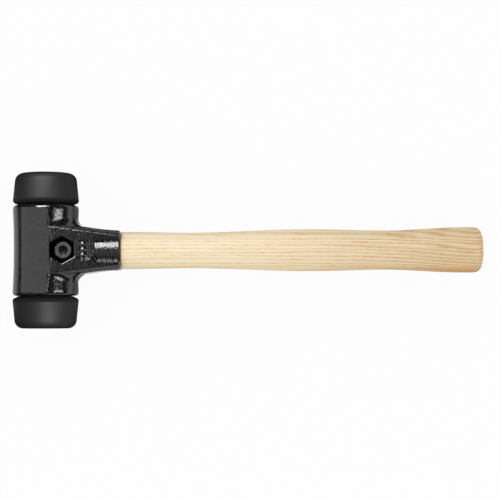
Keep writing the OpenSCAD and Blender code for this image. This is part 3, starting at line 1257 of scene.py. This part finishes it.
@dataclass
class Studio:
    """A white table in soft light, seen from nearly straight above."""

    # Distance of the camera, the width that it sees in the parting plane, and its aim
    camera_distance: float = 1219.5
    seen_width: float = 381.1
    aim_x: float = 155.5
    aim_y: float = 0.27
    tilt: float = 2.2
    roll: float = -0.12
    sensor: float = 36.0
    clip_end: float = 20.0
    # The table's size, its grey, and its share of plain white where it is seen
    table_size: float = 8.0
    table_grey: float = 0.75
    table_white: float = 0.95
    # Light from straight above and from the sides
    zenith: float = 1.17
    horizon: float = 0.6
    # Point that the lamps face
    lamp_aim: Triple = (-0.11, 0.0, 0.03)

    def shown_white(self, graph: Graph, lit: Output, white: Output, share: float) -> Output:
        """Shows white to rays that see a surface straight or in a reflection.

        Args:
            graph: the node tree.
            lit: the shader for light that falls on the object.
            white: the white shader.
            share: share of white for the rays that see it.

        Returns:
            The mixed shader.
        """
        path = graph.add("LightPath").outputs
        camera, glossy, through = (Output(graph, path[f"Is {ray} Ray"])
                                   for ray in ("Camera", "Glossy", "Transmission"))
        seen = camera.larger(glossy).larger(through)
        return graph.value("MixShader", {0: seen * share, 1: lit, 2: white})

    def table(self) -> None:
        """Lays the white table, which keeps the hammer's shadow."""
        floor = Bench.start("table", bpy.ops.mesh.primitive_plane_add, size=self.table_size)
        material = bpy.data.materials.new("table_white")
        material.use_nodes = True
        graph = Graph(material.node_tree)
        matt = graph.value("BsdfDiffuse", {"Color": (*[self.table_grey] * 3, 1)})
        white = graph.value("Emission", {"Color": (1, 1, 1, 1), "Strength": 1.0})
        shown = self.shown_white(graph, matt, white, self.table_white)
        graph.add("OutputMaterial", {"Surface": shown})
        floor.data.materials.append(material)

    def card(self, name: str, low: Pair, high: Pair, height: float, tone: float = 0.004) -> Piece:
        """Lays a card, which only reflections show.

        Args:
            name: the card's name.
            low: its lower corner in X and Y, in metres.
            high: its upper corner.
            height: its height over the table.
            tone: its grey.

        Returns:
            The card.
        """
        card = Bench.start(name, bpy.ops.mesh.primitive_plane_add, size=1.0)
        with Bench.editing(card):
            bpy.ops.transform.resize(value=(high[0] - low[0], high[1] - low[1], 1.0),
                                     center_override=(0, 0, 0))
            bpy.ops.transform.translate(
                value=((low[0] + high[0]) / 2, (low[1] + high[1]) / 2, height))
        surface = Surface(name)
        surface.paint({"Base Color": (tone, tone, tone, 1), "Roughness": 1.0,
                       "Specular IOR Level": 0.0})
        card.data.materials.append(surface.material)
        card.visible_camera = False
        card.visible_diffuse = False
        card.visible_shadow = False
        return card

    def fold(self, card: Piece, edge: Callable[[Vector], bool], *steps: Triple) -> None:
        """Carries a card on from one of its edges.

        Args:
            card: the card.
            edge: test that picks the edge's points.
            steps: the way from one fold to the next, in metres.
        """
        with Bench.editing(card):
            Bench.select_points(card, edge)
            bpy.ops.mesh.select_mode(type="EDGE")
            for step in steps:
                bpy.ops.mesh.extrude_edges_move(TRANSFORM_OT_translate={"value": step})

    def cards(self) -> None:
        """Sets the cards that shape the gloss: overhead, on all sides and in the crooks."""
        flag = self.card("flag_card", (0.19, -2.5), (1.07, 2.5), 1.85)
        self.fold(flag, lambda p: p.x > 0.9, (0.9, 0, -0.75), (0.25, 0, -1.0))
        left = self.card("left_card", (-1.6, -1.2), (-0.288, 1.2), 0.001)
        self.fold(left, lambda p: p.x < -1.5, (0, 0, 0.13))
        self.card("near_card", (-0.288, -0.05), (-0.175, 0.05), 0.001, tone=0.8)
        back = self.card("back_card", (-5.0, 1.3), (5.0, 1.5), 0.2)
        self.fold(back, lambda p: p.y < 1.4, (0, 0, 4.0))
        front = self.card("front_card", (-5.0, -1.5), (0.05, -1.3), 0.2)
        self.fold(front, lambda p: p.y > -1.4, (0, 0, 2.4))
        self.card("upper_crook_card", (-0.128, 0.02), (-0.04, 0.055), 0.001, tone=0.5)
        self.card("lower_crook_card", (-0.128, -0.055), (-0.04, -0.02), 0.001, tone=0.5)
        self.card("upper_face_card", (-0.36, 0.05), (-0.08, 0.3), 0.0015)
        self.card("lower_face_card", (-0.36, -0.3), (-0.08, -0.05), 0.0015)

    def lamp(self, name: str, size: Pair, at: Triple, power: float) -> Piece:
        """Hangs a soft box that faces the hammer's head.

        Args:
            name: the lamp's name.
            size: its width and height in metres.
            at: its place in metres.
            power: its power in watts.

        Returns:
            The lamp.
        """
        data = bpy.data.lights.new(name, "AREA")
        data.shape = "RECTANGLE"
        data.size, data.size_y = size
        data.energy = power
        lamp = bpy.data.objects.new(name, data)
        bpy.context.scene.collection.objects.link(lamp)
        lamp.location = at
        aim = Vector(self.lamp_aim) - Vector(at)
        lamp.rotation_euler = aim.to_track_quat("-Z", "Y").to_euler()
        lamp.visible_camera = False
        lamp.visible_diffuse = False
        return lamp

    def limit(self, lamp: Piece, piece: str, alone: bool) -> None:
        """Lets a lamp light one piece alone, or every piece but that one.

        Args:
            lamp: the lamp.
            piece: the piece's name.
            alone: whether the piece is the only one that is lit.
        """
        pieces = bpy.data.collections.new(f"{lamp.name}_pieces")
        pieces.objects.link(bpy.data.objects[piece])
        lamp.light_linking.receiver_collection = pieces
        link = pieces.collection_objects[0].light_linking
        link.link_state = "INCLUDE" if alone else "EXCLUDE"

    def lamps(self) -> None:
        """Hangs soft boxes for the gloss: by the handle, at the back and over the lower face."""
        self.lamp("side_softbox", (0.16, 0.74), (1.02, -0.09, 0.95), 4.6)
        back = self.lamp("back_softbox", (0.925, 0.72), (-0.29, 0.709, 1.18), 38.0)
        front = self.lamp("front_softbox", (0.45, 0.5), (0.21, -0.38, 1.25), 25.0)
        self.limit(back, "left_rubber_face", alone=False)
        self.limit(front, "left_rubber_face", alone=True)

    def world(self) -> None:
        """Fills the room with light that is strongest overhead, and shows it white."""
        world = bpy.data.worlds.new("white_room")
        bpy.context.scene.world = world
        world.use_nodes = True
        graph = Graph(world.node_tree)
        up = graph.value("SeparateXYZ", {0: graph.value("TexCoord", {}, "Generated")}, 2)
        level = graph.value("MapRange", {0: up, 1: 0.0, 2: 1.0, 3: self.horizon, 4: self.zenith})
        sky = graph.value("Background", {"Color": (1, 1, 1, 1), "Strength": level})
        white = graph.value("Background", {"Color": (1, 1, 1, 1), "Strength": 1.0})
        graph.add("OutputWorld", {"Surface": self.shown_white(graph, sky, white, 1.0)})

    def camera(self) -> None:
        """Sets the camera over the hammer, leaning a little towards the near face."""
        data = bpy.data.cameras.new("camera")
        data.sensor_width = self.sensor
        data.lens = self.sensor * self.camera_distance / self.seen_width
        data.clip_end = self.clip_end
        camera = bpy.data.objects.new("camera", data)
        bpy.context.scene.collection.objects.link(camera)
        lean = math.radians(self.tilt)
        camera.location = (MM * (AXIS_X + self.aim_x),
                           MM * (self.aim_y - self.camera_distance * math.sin(lean)),
                           MM * (PARTING_Z + self.camera_distance * math.cos(lean)))
        camera.rotation_euler = (lean, 0, math.radians(self.roll))
        bpy.context.scene.camera = camera

    def build(self) -> None:
        """Sets up the table, the light and the camera."""
        bpy.context.scene.view_settings.view_transform = "Standard"
        self.camera()
        self.table()
        self.cards()
        self.world()
        self.lamps()


def main() -> None:
    """Builds the hammer's pieces in order, reports each and sets up the studio."""
    logging.basicConfig(level=logging.INFO, format="%(name)s: %(message)s")
    for assembly in (Housing(), StrikingFace(Side.RIGHT), StrikingFace(Side.LEFT), Handle(),
                     ClampScrew()):
        for piece in assembly.build():
            LOG.info("%s: %d faces in %s", piece.name, len(piece.data.polygons),
                     piece.active_material.name)
    Studio().build()


if __name__ == "__main__":
    main()
